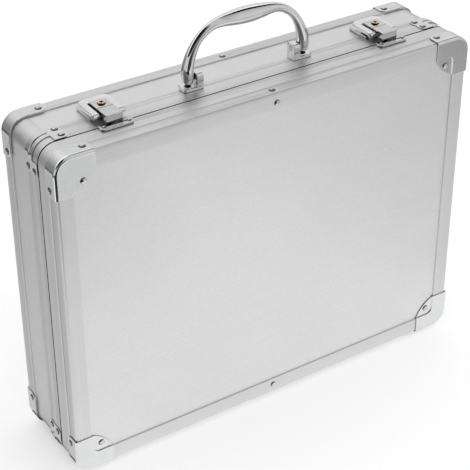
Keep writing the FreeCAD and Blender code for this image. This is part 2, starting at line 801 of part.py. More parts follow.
def leaf_rivets(side):
    # Two rivets through a leaf; side is -1 for the lid's leaf and 1 for the body's.
    rivets = []
    holes = []
    y = parting + side * (knuckle_radius + knuckle_gap + hinge_leaf_length) / 2
    for x in (-hinge_rivet_half_spacing, hinge_rivet_half_spacing):
        body, hole = rivet(V(x, y, base - hinge_leaf), V(0, 0, -1), small=True)
        rivets.append(body)
        holes.append(hole)
    return rivets, holes


def feet():
    # Round glides under the rim rail and the back rail, each with a stem in the case.
    solids = []
    holes = []
    for y in (body_rim + seat_gap + foot_radius, back - back_band / 2):
        for x in (-foot_x, foot_x):
            pad = rod(V(x, y, 0), V(0, 0, 1), foot_radius, foot_height)
            rim = edges_at(pad, lambda e, c: abs(c.z) < 1e-6 and e.Closed)
            pad = pad.makeFillet(foot_edge_radius, rim)
            solids.append(pad.fuse(rod(V(x, y, base), V(0, 0, 1), foot_stem_radius, foot_stem_length)))
            holes.append(rod(V(x, y, base), V(0, 0, 1), foot_stem_radius + rivet_clearance,
                             foot_stem_length + seat_gap))
    return solids, holes


def tray(inset, y_open, y_floor, floor_side):
    # Lining with a floor and four walls, open towards the parting line.
    outer = plate_y(inset_rectangle(inset), min(y_open, y_floor), max(y_open, y_floor))
    floor = y_floor - floor_side * lining_thickness
    hollow = plate_y(inset_rectangle(inset + lining_thickness), min(y_open, floor), max(y_open, floor))
    return outer.cut(hollow)


def body_lining():
    return tray(slot_bottom + seat_gap, body_rim + rail_wall + seat_gap, back - slot_bottom - seat_gap, 1)


def lid_lining():
    inset = groove_inset + groove_width + rail_wall + seat_gap
    return tray(inset, lid_rim - rail_wall - seat_gap, front + slot_bottom + seat_gap, -1)


def save(name, shapes):
    solids = []
    for shape in shapes:
        solids.extend(shape.Solids)
    whole = solids[0] if len(solids) == 1 else Part.Compound(solids)
    whole.exportStep(os.path.join("parts", name + ".step"))
    volume = sum(solid.Volume for solid in solids)
    print(name, len(solids), round(volume, 1), all(solid.isValid() for solid in solids))


def build_lid():
    cap_rivets, holes = corner_rivets(cap_seats(front, -1))
    side_y = front + lid_recess_width - rivet_head_radius - recess_rivet_gap
    mid_rivets, mid_holes = middle_rivets(front, -1, lid_recess_depth, side_y)
    holes = holes + mid_holes
    strike_rivets = []
    strike_holes = []
    y = lid_rim - seat_gap - strike_length / 2
    for x in (-latch_x, latch_x):
        for side in (1, -1):
            seat = V(x + side * (strike_half_width - strike_rivet_inset), y, top + strike_height)
            body, hole = rivet(seat, V(0, 0, 1), small=True)
            strike_rivets.append(body)
            strike_holes.append(hole)
    leaf = hinge_leaf_pair()[0]
    hinge_rivets, hinge_holes = leaf_rivets(-1)
    hinge_set = both_sides(hinge_rivets, hinge_x)
    hinge_hole_set = both_sides(hinge_holes, hinge_x)
    leaves = both_sides([leaf], hinge_x)
    holes = holes + strike_holes + hinge_hole_set

    panel = plate_y(inset_rectangle(panel_edge), front + rail_wall, front + panel_inner)
    save("lid_panel", [drilled(panel, holes)])
    for side in ("top", "bottom", "left", "right"):
        save("lid_rail_" + side, [drilled(rail_run(lid_rail_outline(), side), holes)])
    save("lid_corner_posts", [drilled(post, holes) for post in four_corners(lid_post()).values()])
    for corner, cap in four_corners(front_cap()).items():
        save("lid_cap_" + corner, [drilled(cap, holes)])
    save("lid_cap_rivets", cap_rivets)
    save("lid_rail_rivets", mid_rivets)
    for name, x in (("left", -latch_x), ("right", latch_x)):
        save("strike_" + name, [drilled(moved_x([strike()], x)[0], strike_holes)])
    save("strike_rivets", strike_rivets)
    save("lid_hinge_leaves", [drilled(item, hinge_hole_set) for item in leaves])
    save("lid_hinge_rivets", hinge_set)
    save("lid_lining", [lid_lining()])


def build_body():
    cap_rivets, holes = corner_rivets(cap_seats(back, 1))
    rim_rivets, rim_holes = corner_rivets(rim_seats())
    mid_rivets, mid_holes = middle_rivets(back, 1, 0, back - cap_side_rivet_depth)
    bracket_rivets = []
    bracket_holes = []
    for x in (-handle_half_span, handle_half_span):
        body, hole = rivet(V(x, handle_y, top + bracket_flange_height), V(0, 0, 1))
        bracket_rivets.append(body)
        bracket_holes.append(hole)
    screws, screw_holes = latch_screws()
    screw_set = both_sides(screws, latch_x)
    screw_hole_set = both_sides(screw_holes, latch_x)
    leaf, pin = hinge_leaf_pair()[1:]
    hinge_rivets, hinge_holes = leaf_rivets(1)
    hinge_set = both_sides(hinge_rivets, hinge_x)
    hinge_hole_set = both_sides(hinge_holes, hinge_x)
    foot_set, foot_holes = feet()
    holes = holes + rim_holes + mid_holes + bracket_holes + screw_hole_set + hinge_hole_set + foot_holes

    panel = plate_y(inset_rectangle(panel_edge), back - panel_inner, back - rail_wall)
    save("back_panel", [drilled(panel, holes)])
    for side in ("top", "bottom", "left", "right"):
        save("body_panel_" + side, [drilled(rail_run(side_panel_outline(), side), holes)])
        save("rim_rail_" + side, [drilled(rail_run(rim_rail_outline(), side), holes)])
        save("back_rail_" + side, [drilled(rail_run(back_rail_outline(), side), holes)])
    save("body_corner_posts", [drilled(post, holes) for post in four_corners(body_post()).values()])
    for corner, cap in four_corners(mirror_y(front_cap())).items():
        save("back_cap_" + corner, [drilled(cap, holes)])
    save("rim_caps", [drilled(cap, holes) for cap in four_corners(rim_cap()).values()])
    save("back_cap_rivets", cap_rivets)
    save("rim_cap_rivets", rim_rivets)
    save("back_rail_rivets", mid_rivets)
    right = drilled(handle_bracket(), bracket_holes)
    save("handle_bracket_right", [right])
    save("handle_bracket_left", [mirror_x(right)])
    save("bracket_rivets", bracket_rivets)
    save("handle_pins", [handle_pin(), mirror_x(handle_pin())])
    plain_base = drilled(latch_base(), screw_holes)
    for name, x in (("left", -latch_x), ("right", latch_x)):
        save("latch_base_" + name, moved_x([plain_base], x))
    save("latch_pins", both_sides([latch_pin()], latch_x))
    save("latch_screws", screw_set)
    leaves = both_sides([leaf], hinge_x)
    save("body_hinge_leaves", [drilled(item, hinge_hole_set) for item in leaves])
    save("hinge_pins", both_sides([pin], hinge_x))
    save("body_hinge_rivets", hinge_set)
    save("feet", foot_set)
    save("body_lining", [body_lining()])


def build_moving():
    save("handle", [handle()])
    for name, x in (("left", -latch_x), ("right", latch_x)):
        save("lever_" + name, moved_x([latch_lever()], x))
        save("hook_" + name, moved_x([latch_hook()], x))
        save("lock_plug_" + name, moved_x([lock_plug()], x))


os.makedirs("parts", exist_ok=True)
build_lid()
build_body()
build_moving()
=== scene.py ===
import math
import bmesh
import bpy
from mathutils import Matrix, Vector


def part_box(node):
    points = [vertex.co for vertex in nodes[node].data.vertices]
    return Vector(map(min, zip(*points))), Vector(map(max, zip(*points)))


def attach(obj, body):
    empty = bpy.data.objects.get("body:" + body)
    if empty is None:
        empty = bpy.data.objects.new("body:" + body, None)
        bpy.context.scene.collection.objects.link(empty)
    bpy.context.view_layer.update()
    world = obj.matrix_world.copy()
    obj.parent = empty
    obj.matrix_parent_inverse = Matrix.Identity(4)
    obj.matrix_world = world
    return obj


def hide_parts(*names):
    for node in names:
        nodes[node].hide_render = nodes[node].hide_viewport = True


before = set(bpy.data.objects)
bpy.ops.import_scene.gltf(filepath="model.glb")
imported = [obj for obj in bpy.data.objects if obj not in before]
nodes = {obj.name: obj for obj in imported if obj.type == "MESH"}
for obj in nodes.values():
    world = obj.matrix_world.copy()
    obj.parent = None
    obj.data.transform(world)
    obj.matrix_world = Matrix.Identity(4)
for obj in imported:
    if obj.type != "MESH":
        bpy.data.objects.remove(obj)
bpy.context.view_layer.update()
scene = bpy.context.scene
scene.view_settings.view_transform = "Standard"
mm = 0.001


def grey(level):
    return (level, level, level)


def put(tree, kind, wires=None, **settings):
    # New node; wires gives each input a socket to link or a plain value.
    node = tree.nodes.new(kind)
    for key, value in settings.items():
        setattr(node, key, value)
    for key, value in (wires or {}).items():
        if isinstance(value, bpy.types.NodeSocket):
            tree.links.new(value, node.inputs[key])
        else:
            node.inputs[key].default_value = value
    return node


def maths(tree, operation, first, second=0.0, clamp=False):
    wires = {0: first, 1: second}
    return put(tree, "ShaderNodeMath", wires, operation=operation, use_clamp=clamp).outputs[0]


def weighed(tree, shares, start=0.0, clamp=False):
    # start plus each value times its share.
    total = start
    for value, share in shares:
        wires = {0: value, 1: share, 2: total}
        total = put(tree, "ShaderNodeMath", wires, operation="MULTIPLY_ADD").outputs[0]
    return maths(tree, "ADD", total, clamp=True) if clamp else total


def vectorMaths(tree, operation, first, second=None):
    # The second input is a vector, or the factor of SCALE.
    wires = {0: first}
    if second is not None:
        wires["Scale" if operation == "SCALE" else 1] = second
    node = put(tree, "ShaderNodeVectorMath", wires, operation=operation)
    return node.outputs["Value" if operation in ("DOT_PRODUCT", "LENGTH") else "Vector"]


def remap(tree, value, low, high, toLow=0.0, toHigh=1.0):
    wires = {"Value": value, "From Min": low, "From Max": high, "To Min": toLow, "To Max": toHigh}
    return put(tree, "ShaderNodeMapRange", wires).outputs[0]


def blendLevels(tree, factor, low, high):
    return put(tree, "ShaderNodeMix", {0: factor, 2: low, 3: high}, data_type="FLOAT").outputs[0]


def blendColours(tree, factor, low, high):
    # Each colour is a socket or three plain numbers.
    ends = [end if isinstance(end, bpy.types.NodeSocket) else (*end, 1.0) for end in (low, high)]
    return put(tree, "ShaderNodeMix", {0: factor, 6: ends[0], 7: ends[1]}, data_type="RGBA").outputs[2]


def objectPlace(tree):
    return put(tree, "ShaderNodeTexCoord").outputs["Object"]


def noise(tree, place, wires):
    return put(tree, "ShaderNodeTexNoise", {"Vector": place, **wires}).outputs[0]


def splitAxes(tree, vector):
    return put(tree, "ShaderNodeSeparateXYZ", {0: vector}).outputs


def startGroup(name, takes, gives):
    group = bpy.data.node_groups.new(name, "ShaderNodeTree")
    for label, kind, value in takes:
        socket = group.interface.new_socket(name=label, in_out="INPUT", socket_type="NodeSocket" + kind)
        socket.default_value = value
    for label, kind in gives:
        group.interface.new_socket(name=label, in_out="OUTPUT", socket_type="NodeSocket" + kind)
    return group, put(group, "NodeGroupInput").outputs, put(group, "NodeGroupOutput").inputs


def useGroup(tree, group, **values):
    node = put(tree, "ShaderNodeGroup", node_tree=group)
    for key, value in values.items():
        node.inputs[key].default_value = value
    return node.outputs


# Fine lines that a die leaves along an extrusion or a brush along a sheet.
lineLook = {"stretch": (3, 900, 900), "fine": {"Scale": 1.0, "Detail": 3.0, "Roughness": 0.6},
            "broad": {"Scale": 0.13, "Detail": 1.0}, "fineShare": 0.6, "broadShare": 0.4, "range": (0.3, 0.7)}


def makeDrawnLines():
    group, take, give = startGroup("drawnLines", [("Stretch", "Vector", lineLook["stretch"])],
                                   [("Lines", "Float")])
    wires = {"Vector": objectPlace(group), "Scale": take["Stretch"]}
    spread = put(group, "ShaderNodeMapping", wires).outputs[0]
    fine, broad = (noise(group, spread, lineLook[key]) for key in ("fine", "broad"))
    both = weighed(group, ((fine, lineLook["fineShare"]), (broad, lineLook["broadShare"])))
    group.links.new(remap(group, both, *lineLook["range"]), give["Lines"])
    return group


# Fine pebbled grain of an embossed sheet, or the orange peel of thick plating.
grainLook = {"pitch": 700.0, "detail": 2.0, "range": (0.05, 0.4)}


def makeSheetGrain():
    group, take, give = startGroup("sheetGrain", [("Pitch", "Float", grainLook["pitch"])],
                                   [("Grain", "Float")])
    place = objectPlace(group)
    wires = {"Vector": place, "Scale": take["Pitch"]}
    cells = put(group, "ShaderNodeTexVoronoi", wires, feature="SMOOTH_F1").outputs["Distance"]
    soft = noise(group, place, {"Scale": take["Pitch"], "Detail": grainLook["detail"]})
    both = maths(group, "MULTIPLY", cells, soft)
    group.links.new(remap(group, both, *grainLook["range"]), give["Grain"])
    return group


# Cloudy patches where hands and cloths have been.
markLook = {"scale": 14.0, "cloud": {"Detail": 5.0, "Distortion": 0.8}, "range": (0.42, 0.72)}


def makeHandlingMarks():
    group, take, give = startGroup("handlingMarks", [("Scale", "Float", markLook["scale"])],
                                   [("Marks", "Float")])
    cloud = noise(group, objectPlace(group), {"Scale": take["Scale"], **markLook["cloud"]})
    group.links.new(remap(group, cloud, *markLook["range"]), give["Marks"])
    return group


# Rubbed edges: where the surface turns within a short distance, in broken patches.
wearLook = {"width": 0.0006, "samples": 4, "turn": (0.999, 0.9), "patches": {"Scale": 260.0, "Detail": 3.0},
            "patchRange": (0.35, 0.65)}


def makeEdgeWear():
    group, take, give = startGroup("edgeWear", [("Width", "Float", wearLook["width"])], [("Edge", "Float")])
    turned = put(group, "ShaderNodeBevel", {"Radius": take["Width"]}, samples=wearLook["samples"]).outputs[0]
    plain = put(group, "ShaderNodeNewGeometry").outputs["Normal"]
    edge = remap(group, vectorMaths(group, "DOT_PRODUCT", turned, plain), *wearLook["turn"])
    patches = noise(group, objectPlace(group), wearLook["patches"])
    broken = remap(group, patches, *wearLook["patchRange"])
    group.links.new(maths(group, "MULTIPLY", edge, broken), give["Edge"])
    return group


# Masks for painted shade where near surfaces close in: Crevice for all of them, Fold for the piece's own
# alone.
creviceLook = {"reach": 0.0015, "depth": 0.5, "open": 0.92, "samples": 8}


def makeCreviceShade():
    takes = [("Reach", "Float", creviceLook["reach"]), ("Depth", "Float", creviceLook["depth"])]
    group, take, give = startGroup("creviceShade", takes, [("Crevice", "Float"), ("Fold", "Float")])
    for label, local in (("Crevice", False), ("Fold", True)):
        near = put(group, "ShaderNodeAmbientOcclusion", {"Distance": take["Reach"]},
                   samples=creviceLook["samples"], only_local=local).outputs["AO"]
        group.links.new(remap(group, near, creviceLook["open"], take["Depth"]), give[label])
    return group


# Masks for painted shade and painted reflection by which way a small slope looks: Upward for one turned up or
# right, Crescent for a dome's upper left rim.
facingLook = {"rim": 0.82, "rightShare": 0.5, "upward": (0.1, 0.35), "flat": 0.95, "upperLeft": (-0.15, 0.5)}


def makeFacingShade():
    group, take, give = startGroup("facingShade", [("Rim", "Float", facingLook["rim"])],
                                   [("Upward", "Float"), ("Crescent", "Float")])
    way = splitAxes(group, put(group, "ShaderNodeTexCoord").outputs["Normal"])
    upward = maths(group, "MAXIMUM", way[2], maths(group, "MULTIPLY", way[0], facingLook["rightShare"]))
    group.links.new(remap(group, upward, *facingLook["upward"]), give["Upward"])
    steepest = maths(group, "ABSOLUTE", way[0])
    for axis in (1, 2):
        steepest = maths(group, "MAXIMUM", steepest, maths(group, "ABSOLUTE", way[axis]))
    slope = remap(group, steepest, facingLook["flat"], take["Rim"])
    side = remap(group, maths(group, "SUBTRACT", way[2], way[0]), *facingLook["upperLeft"])
    group.links.new(maths(group, "MULTIPLY", slope, side), give["Crescent"])
    return group


# Pressed sheet bulges a little: near the case's outline and its front and back, shading leans outward.
pillowLook = {"bend": 17 * mm, "reach": 0.004, "lean": 3.0, "facingGain": 1.4}


def makePillowedEdge():
    low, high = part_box("lid_cap_bottom_left")[0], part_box("back_cap_top_right")[1]
    centre, half, bend = (low + high) / 2, (high - low) / 2, pillowLook["bend"]
    takes = [("Reach", "Float", pillowLook["reach"]), ("Lean", "Float", pillowLook["lean"])]
    group, take, give = startGroup("pillowedEdge", takes, [("Normal", "Vector")])
    place = put(group, "ShaderNodeTexCoord").outputs
    away = splitAxes(group, vectorMaths(group, "SUBTRACT", place["Object"], centre))
    size, sign = ([maths(group, operation, part) for part in away] for operation in ("ABSOLUTE", "SIGN"))
    wires = {}
    for axis in (0, 2):
        past = maths(group, "MAXIMUM", maths(group, "SUBTRACT", size[axis], half[axis] - bend), 0.0)
        wires[axis] = maths(group, "MULTIPLY", past, sign[axis])
    outward = put(group, "ShaderNodeCombineXYZ", wires).outputs[0]
    shares = []
    for value, edge in ((vectorMaths(group, "LENGTH", outward), bend), (size[1], half.y)):
        share = remap(group, value, maths(group, "SUBTRACT", edge, take["Reach"]), edge)
        shares.append(maths(group, "MULTIPLY", share, share))
    toSide = vectorMaths(group, "SCALE", vectorMaths(group, "NORMALIZE", outward), shares[0])
    wires = {1: maths(group, "MULTIPLY", sign[1], shares[1])}
    lean = vectorMaths(group, "ADD", toSide, put(group, "ShaderNodeCombineXYZ", wires).outputs[0])
    facing = vectorMaths(group, "DOT_PRODUCT", vectorMaths(group, "NORMALIZE", lean), place["Normal"])
    outer = maths(group, "MULTIPLY", facing, pillowLook["facingGain"], clamp=True)
    lean = vectorMaths(group, "SCALE", lean, maths(group, "MULTIPLY", outer, take["Lean"]))
    leant = vectorMaths(group, "ADD", place["Normal"], lean)
    turned = put(group, "ShaderNodeVectorTransform", {0: leant}, vector_type="NORMAL", convert_from="OBJECT",
                 convert_to="WORLD").outputs[0]
    group.links.new(vectorMaths(group, "NORMALIZE", turned), give["Normal"])
    return group


# Where the lid meets the body: Near fades out beside the plane, Slit is the mask for painted shade in the gap
# itself.
partingLook = {"place": -0.0185, "reach": 0.002, "slitEdge": 0.0009, "slitFull": 0.0007}


def makePartingLine():
    takes = [("Place", "Float", partingLook["place"]), ("Reach", "Float", partingLook["reach"])]
    group, take, give = startGroup("partingLine", takes, [("Near", "Float"), ("Slit", "Float")])
    along = splitAxes(group, objectPlace(group))[1]
    away = maths(group, "ABSOLUTE", maths(group, "SUBTRACT", along, take["Place"]))
    group.links.new(remap(group, away, take["Reach"], partingLook["slitEdge"]), give["Near"])
    group.links.new(remap(group, away, partingLook["slitEdge"], partingLook["slitFull"]), give["Slit"])
    return group


# Plain weave; the slanted axes keep it on all the tray's walls and on its floor.
weaveLook = {"threads": 1400.0, "fleck": {"Scale": 420.0, "Detail": 3.0}, "fleckRange": (0.35, 0.65)}


def makeClothWeave():
    group, take, give = startGroup("clothWeave", [("Threads", "Float", weaveLook["threads"])],
                                   [("Weave", "Float"), ("Fleck", "Float")])
    place = objectPlace(group)
    split = splitAxes(group, place)
    waves = []
    for axis in (0, 2):
        slanted = maths(group, "ADD", split[axis], split[1])
        waves.append(maths(group, "SINE", maths(group, "MULTIPLY", slanted, take["Threads"])))
    group.links.new(remap(group, maths(group, "MULTIPLY", *waves), -1.0, 1.0), give["Weave"])
    fleck = noise(group, place, weaveLook["fleck"])
    group.links.new(remap(group, fleck, *weaveLook["fleckRange"]), give["Fleck"])
    return group


drawnLines = makeDrawnLines()
sheetGrain = makeSheetGrain()
handlingMarks = makeHandlingMarks()
edgeWear = makeEdgeWear()
creviceShade = makeCreviceShade()
facingShade = makeFacingShade()
pillowedEdge = makePillowedEdge()
partingLine = makePartingLine()
clothWeave = makeClothWeave()
print("shared effects built")


def newFinish(name):
    material = bpy.data.materials.new(name)
    material.use_nodes = True
    return material, material.node_tree, material.node_tree.nodes["Principled BSDF"]


def metalFinish(name, look):
    # Metal with drawn lines, grain, handling marks and rubbed edges, each by its own share, and with tones
    # painted into its seams, folds and domes in place of shade and reflections.
    material, tree, shader = newFinish(name)
    lines = useGroup(tree, drawnLines, Stretch=look["stretch"])["Lines"]
    grain = useGroup(tree, sheetGrain, Pitch=look["pitch"])["Grain"]
    marks = useGroup(tree, handlingMarks, Scale=look["markScale"])["Marks"]
    edge = useGroup(tree, edgeWear, Width=look["edgeWidth"])["Edge"]
    tone = weighed(tree, ((lines, look["lineTone"]), (grain, look["grainTone"]), (edge, look["edgeTone"]),
                          (marks, -look["markTone"])), clamp=True)
    clean = blendColours(tree, tone, look["low"], look["high"])
    # Painted shade in seams where near surfaces close in, with its own tone at the parting line and in a
    # piece's own folds, where a fold turned up or right is painted dark and the others are painted light.
    near = useGroup(tree, creviceShade, Reach=look["seamReach"], Depth=look["seamDepth"])
    parting = useGroup(tree, partingLine)
    facing = useGroup(tree, facingShade)
    seam = blendColours(tree, parting["Near"], look["seam"], look["paintedPartingShade"])
    paintedFoldTone = blendColours(tree, facing["Upward"], look["fold"], look["paintedUpwardShade"])
    fold = maths(tree, "MULTIPLY", near["Fold"], look["foldShare"], clamp=True)
    seam = blendColours(tree, fold, seam, paintedFoldTone)
    slit = maths(tree, "MULTIPLY", parting["Slit"], look["slit"])
    paintedCrescent = maths(tree, "MULTIPLY", facing["Crescent"], look["paintedCrescent"])
    # Painted shade in crevices and the parting gap, the painted fold tones and the painted crescent on domes
    # go on where this mask is high.
    paintedToneMask = maths(tree, "MAXIMUM", maths(tree, "MAXIMUM", near["Crevice"], slit), paintedCrescent)
    tree.links.new(blendColours(tree, paintedToneMask, clean, seam), shader.inputs["Base Color"])
    rough = weighed(tree, ((lines, look["lineRough"]), (marks, look["markRough"])), look["roughness"], True)
    tree.links.new(rough, shader.inputs["Roughness"])
    height = weighed(tree, ((lines, look["lineBump"]), (grain, look["grainBump"])))
    wires = {"Strength": look["bump"], "Distance": look["relief"], "Height": height}
    if look["pillow"]:
        wires["Normal"] = useGroup(tree, pillowedEdge, Lean=look["pillow"])["Normal"]
    bump = put(tree, "ShaderNodeBump", wires)
    tree.links.new(bump.outputs[0], shader.inputs["Normal"])
    shader.inputs["Metallic"].default_value = 1.0
    return material


# What the metals share; each look below adds its own values.
# By default there is no painted shade in the parting gap, no painted tone in a piece's own folds and no
# painted crescent; where folds are painted, those turned up or right take painted shade and the others
# painted light.
metalLook = {"slit": 0.0, "fold": grey(1.0), "paintedUpwardShade": grey(0.012), "foldShare": 0.0, "paintedCrescent": 0.0,
             "pillow": 0.0}

# Satin anodised rails; the lines run along each rail.
# On the rails the seam tone is painted light in crevices, lighter than the rail itself, and the parting tone
# is near-black painted shade along the parting gap.
railLook = dict(metalLook, low=grey(0.70), high=grey(0.84), stretch=(2.0, 1100.0, 1100.0), pitch=900.0,
                markScale=9.0, edgeWidth=0.0005, lineTone=0.7, grainTone=0.12, edgeTone=0.35, markTone=0.12,
                roughness=0.38, lineRough=0.08, markRough=0.05, lineBump=1.0, grainBump=0.15, bump=0.35,
                relief=0.00003, seam=grey(0.90), paintedPartingShade=grey(0.004), seamReach=0.0020, seamDepth=0.68,
                slit=1.0)
railAcross = metalFinish("satinRailAcross", railLook)
railUpright = metalFinish("satinRailUpright", dict(railLook, stretch=(1100.0, 1100.0, 2.0)))
cornerPost = metalFinish("satinCornerPost", dict(railLook, stretch=(14.0, 1100.0, 14.0), lineTone=0.5))

# Embossed aluminium sheet on the panels, finer and a little lighter than the rails.
# Their seam tones are a faint painted shade where the panels meet the rails.
panelLook = dict(metalLook, low=grey(0.765), high=grey(0.855), stretch=(6.0, 420.0, 420.0), pitch=620.0,
                 markScale=6.0, edgeWidth=0.0005, lineTone=0.25, grainTone=0.55, edgeTone=0.2, markTone=0.1,
                 roughness=0.38, lineRough=0.03, markRough=0.05, lineBump=0.2, grainBump=1.0, bump=0.3,
                 relief=0.00004, seam=grey(0.76), paintedPartingShade=grey(0.76), seamReach=0.0013, seamDepth=0.35)
panelFace = metalFinish("embossedPanelFace", panelLook)
panelSide = metalFinish("embossedPanelSide", dict(panelLook, stretch=(420.0, 420.0, 6.0)))

# Bright plating on caps, latches, rivets and the handle.
# Its seam tones are near-black painted shade in crevices and at the parting line.
plateLook = dict(metalLook, low=(0.76, 0.765, 0.77), high=(0.92, 0.925, 0.93), stretch=(160.0, 160.0, 160.0),
                 pitch=900.0, markScale=40.0, edgeWidth=0.0004, lineTone=0.25, grainTone=0.25, edgeTone=0.7,
                 markTone=0.25, roughness=0.09, lineRough=0.03, markRough=0.07, lineBump=0.3, grainBump=0.4,
                 bump=0.1, relief=0.00002, seam=grey(0.03), paintedPartingShade=grey(0.02), seamReach=0.0014,
                 seamDepth=0.45)
# Caps take painted shade in their own folds turned up or right and painted light in the others.
capPlating = metalFinish("capPlating", dict(plateLook, seamReach=0.0018, seamDepth=0.5, foldShare=3.0,
                                            pillow=3.0))
latchLook = dict(plateLook, roughness=0.06, markScale=90.0, low=(0.64, 0.645, 0.65), seamReach=0.0018)
latchPlating = metalFinish("latchPlating", latchLook)
leverPlating = metalFinish("leverPlating", dict(latchLook, low=(0.82, 0.825, 0.83), high=grey(0.97)))
# Rivets take painted shade round their rims and a dark crescent on each dome's upper left rim, a painted
# reflection.
rivetPlating = metalFinish("rivetPlating", dict(plateLook, low=(0.66, 0.66, 0.665), high=grey(0.97),
                                                roughness=0.05, seamReach=0.0030, seamDepth=0.80,
                                                paintedCrescent=0.9))
handlePlating = metalFinish("handlePlating", dict(plateLook, roughness=0.035, markRough=0.04, bump=0.05))
bracketPlating = metalFinish("bracketPlating", dict(plateLook, roughness=0.13, grainBump=1.0, bump=0.2))

# Plain steel on pins, screws and hinges.
steelLook = dict(plateLook, low=(0.52, 0.52, 0.525), high=(0.66, 0.66, 0.67), roughness=0.2, lineRough=0.1,
                 stretch=(30.0, 900.0, 900.0), lineTone=0.7, bump=0.3)
hingeSteel = metalFinish("hingeSteel", steelLook)
pinSteel = metalFinish("pinSteel", dict(steelLook, roughness=0.16))

# Turned brass of the lock plugs.
# Its dark brown seam tone is painted shade in the keyhole and round the plug.
brassLook = dict(plateLook, low=(0.84, 0.54, 0.22), high=(1.0, 0.84, 0.55), roughness=0.16, markScale=500.0,
                 pitch=2600.0, grainTone=0.7, markTone=0.4, edgeTone=0.6, seam=(0.03, 0.015, 0.004),
                 seamReach=0.0026, seamDepth=0.62)
plugBrass = metalFinish("plugBrass", brassLook)

# Black rubber of the feet.
footLook = {"low": grey(0.018), "high": grey(0.05), "pitch": 1500.0, "markScale": 120.0, "grainTone": 0.5,
            "markTone": 0.5, "roughness": 0.62, "markRough": 0.2, "bump": 0.4, "relief": 0.00008}


def rubberFinish(name, look):
    material, tree, shader = newFinish(name)
    grain = useGroup(tree, sheetGrain, Pitch=look["pitch"])["Grain"]
    marks = useGroup(tree, handlingMarks, Scale=look["markScale"])["Marks"]
    tone = weighed(tree, ((grain, look["grainTone"]), (marks, look["markTone"])))
    tree.links.new(blendColours(tree, tone, look["low"], look["high"]), shader.inputs["Base Color"])
    rough = weighed(tree, ((marks, look["markRough"]),), look["roughness"])
    tree.links.new(rough, shader.inputs["Roughness"])
    wires = {"Strength": look["bump"], "Distance": look["relief"], "Height": grain}
    bump = put(tree, "ShaderNodeBump", wires)
    tree.links.new(bump.outputs[0], shader.inputs["Normal"])
    return material


# Dark cloth of the linings.
clothLook = {"low": (0.020, 0.020, 0.022), "high": (0.075, 0.075, 0.08), "threads": 4200.0, "markScale": 22.0,
             "weaveTone": 0.5, "fleckTone": 0.5, "markTone": 0.15, "roughness": (0.88, 1.0), "bump": 0.6,
             "relief": 0.00025, "sheen": 0.25, "sheenRoughness": 0.5}


def clothFinish(name, look):
    material, tree, shader = newFinish(name)
    cloth = useGroup(tree, clothWeave, Threads=look["threads"])
    weave, fleck = cloth["Weave"], cloth["Fleck"]
    marks = useGroup(tree, handlingMarks, Scale=look["markScale"])["Marks"]
    tone = weighed(tree, ((weave, look["weaveTone"]), (fleck, look["fleckTone"]),
                          (marks, -look["markTone"])), clamp=True)
    tree.links.new(blendColours(tree, tone, look["low"], look["high"]), shader.inputs["Base Color"])
    rough = remap(tree, fleck, 0.0, 1.0, *look["roughness"])
    tree.links.new(rough, shader.inputs["Roughness"])
    wires = {"Strength": look["bump"], "Distance": look["relief"], "Height": weave}
    bump = put(tree, "ShaderNodeBump", wires)
    tree.links.new(bump.outputs[0], shader.inputs["Normal"])
    shader.inputs["Sheen Weight"].default_value = look["sheen"]
    shader.inputs["Sheen Roughness"].default_value = look["sheenRoughness"]
    return material


footRubber = rubberFinish("footRubber", footLook)
liningCloth = clothFinish("liningCloth", clothLook)
print("finishes built")

# Which finish each piece takes, and how far its sharp edges are rounded in millimetres.
finishOf = [("lid_panel", panelFace, 0), ("back_panel", panelFace, 0),
            ("body_panel_top", panelFace, 0), ("body_panel_bottom", panelFace, 0),
            ("body_panel_left", panelSide, 0), ("body_panel_right", panelSide, 0),
            ("lid_corner_posts", cornerPost, 0.25), ("body_corner_posts", cornerPost, 0.25)]
for part in ("lid_rail_", "rim_rail_", "back_rail_"):
    finishOf += [(part + "top", railAcross, 0.25), (part + "bottom", railAcross, 0.25),
                 (part + "left", railUpright, 0.25), (part + "right", railUpright, 0.25)]
for part in ("lid_cap_", "back_cap_"):
    finishOf += [(part + corner, capPlating, 0.22)
                 for corner in ("top_right", "top_left", "bottom_right", "bottom_left")]
finishOf += [("rim_caps", capPlating, 0.22), ("lid_cap_rivets", rivetPlating, 0),
             ("lid_rail_rivets", rivetPlating, 0), ("back_cap_rivets", rivetPlating, 0),
             ("rim_cap_rivets", rivetPlating, 0), ("back_rail_rivets", rivetPlating, 0),
             ("strike_rivets", rivetPlating, 0), ("bracket_rivets", rivetPlating, 0),
             ("handle", handlePlating, 0), ("handle_pins", pinSteel, 0.2),
             ("latch_pins", pinSteel, 0.12), ("latch_screws", pinSteel, 0.2),
             ("hinge_pins", pinSteel, 0.2), ("lid_hinge_leaves", hingeSteel, 0.2),
             ("body_hinge_leaves", hingeSteel, 0.2), ("lid_hinge_rivets", hingeSteel, 0),
             ("body_hinge_rivets", hingeSteel, 0), ("feet", footRubber, 0)]
for side in ("left", "right"):
    finishOf += [("handle_bracket_" + side, bracketPlating, 0.5), ("latch_base_" + side, latchPlating, 0.3),
                 ("lever_" + side, leverPlating, 0.6), ("hook_" + side, latchPlating, 0.3),
                 ("strike_" + side, latchPlating, 0.45), ("lock_plug_" + side, plugBrass, 0.2)]

edgeRounding = {"weld": 0.000002, "angle": 34.0, "segments": 2, "evenWeight": 60}


def evenShading(piece, weight):
    shading = piece.modifiers.new("evenShading", "WEIGHTED_NORMAL")
    shading.weight = weight
    shading.keep_sharp = False


